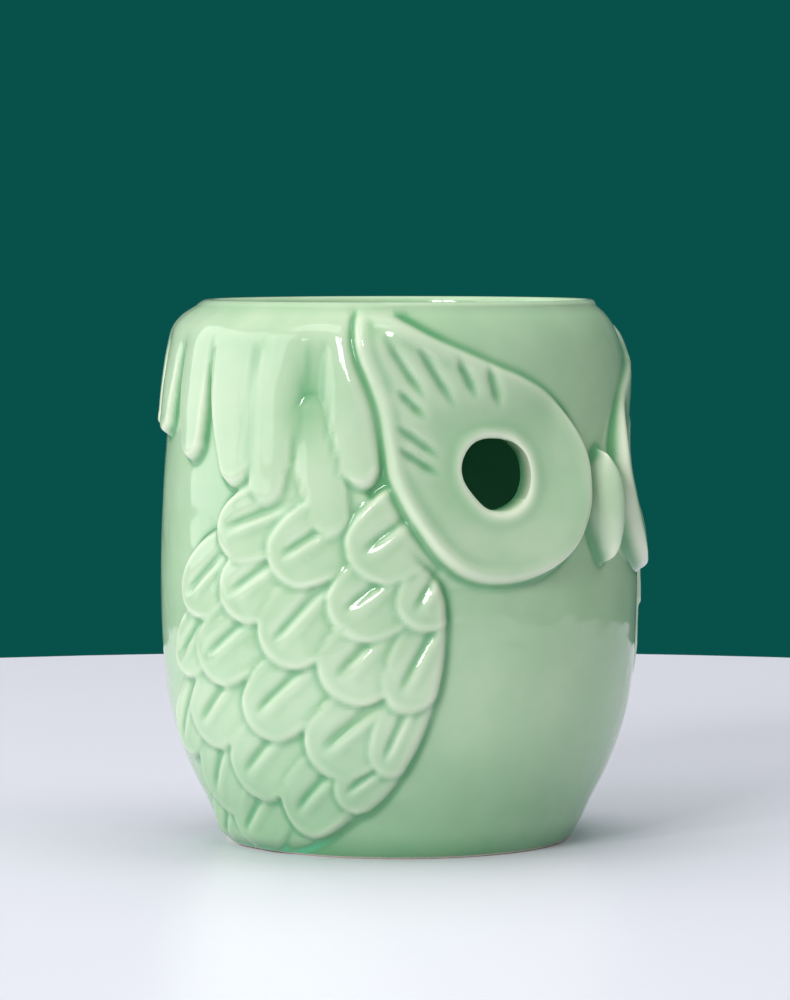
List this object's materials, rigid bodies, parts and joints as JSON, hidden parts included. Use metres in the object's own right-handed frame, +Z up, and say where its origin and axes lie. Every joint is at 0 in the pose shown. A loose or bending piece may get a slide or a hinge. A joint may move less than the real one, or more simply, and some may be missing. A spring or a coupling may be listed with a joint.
{
  "type": "owl oil burner",
  "caption": "Round ceramic owl with a shallow oil dish in its head, open eyes and an arched back doorway that takes a tealight.",
  "frame": {"origin": "centre of the flat underside that the owl stands on", "axes": "+Z up through the oil dish, the owl looks along -Y, the doorway for the tealight faces +Y"},
  "size_m": [0.1026, 0.1024, 0.11],
  "materials": {
    "celadon_glaze": "gloss",
    "cup_aluminium": "satin",
    "paraffin_wax": "satin",
    "wick_cotton": "matte",
    "sustainer_tinplate": "satin"
  },
  "bodies": {
    "owl": {"owl_body": "celadon_glaze"},
    "cup": {"tealight_cup": "cup_aluminium"},
    "candle": {"tealight_wax": "paraffin_wax", "tealight_wick": "wick_cotton", "wick_sustainer": "sustainer_tinplate"}
  },
  "joints": [
    {"name": "tealight_slide", "type": "slide", "parent": "owl", "child": "cup", "axis": [0, 1, 0], "range_m": [0, 0.085]},
    {"name": "candle_lift", "type": "slide", "parent": "cup", "child": "candle", "axis": [0, 0, 1], "range_m": [0, 0.02]}
  ]
}
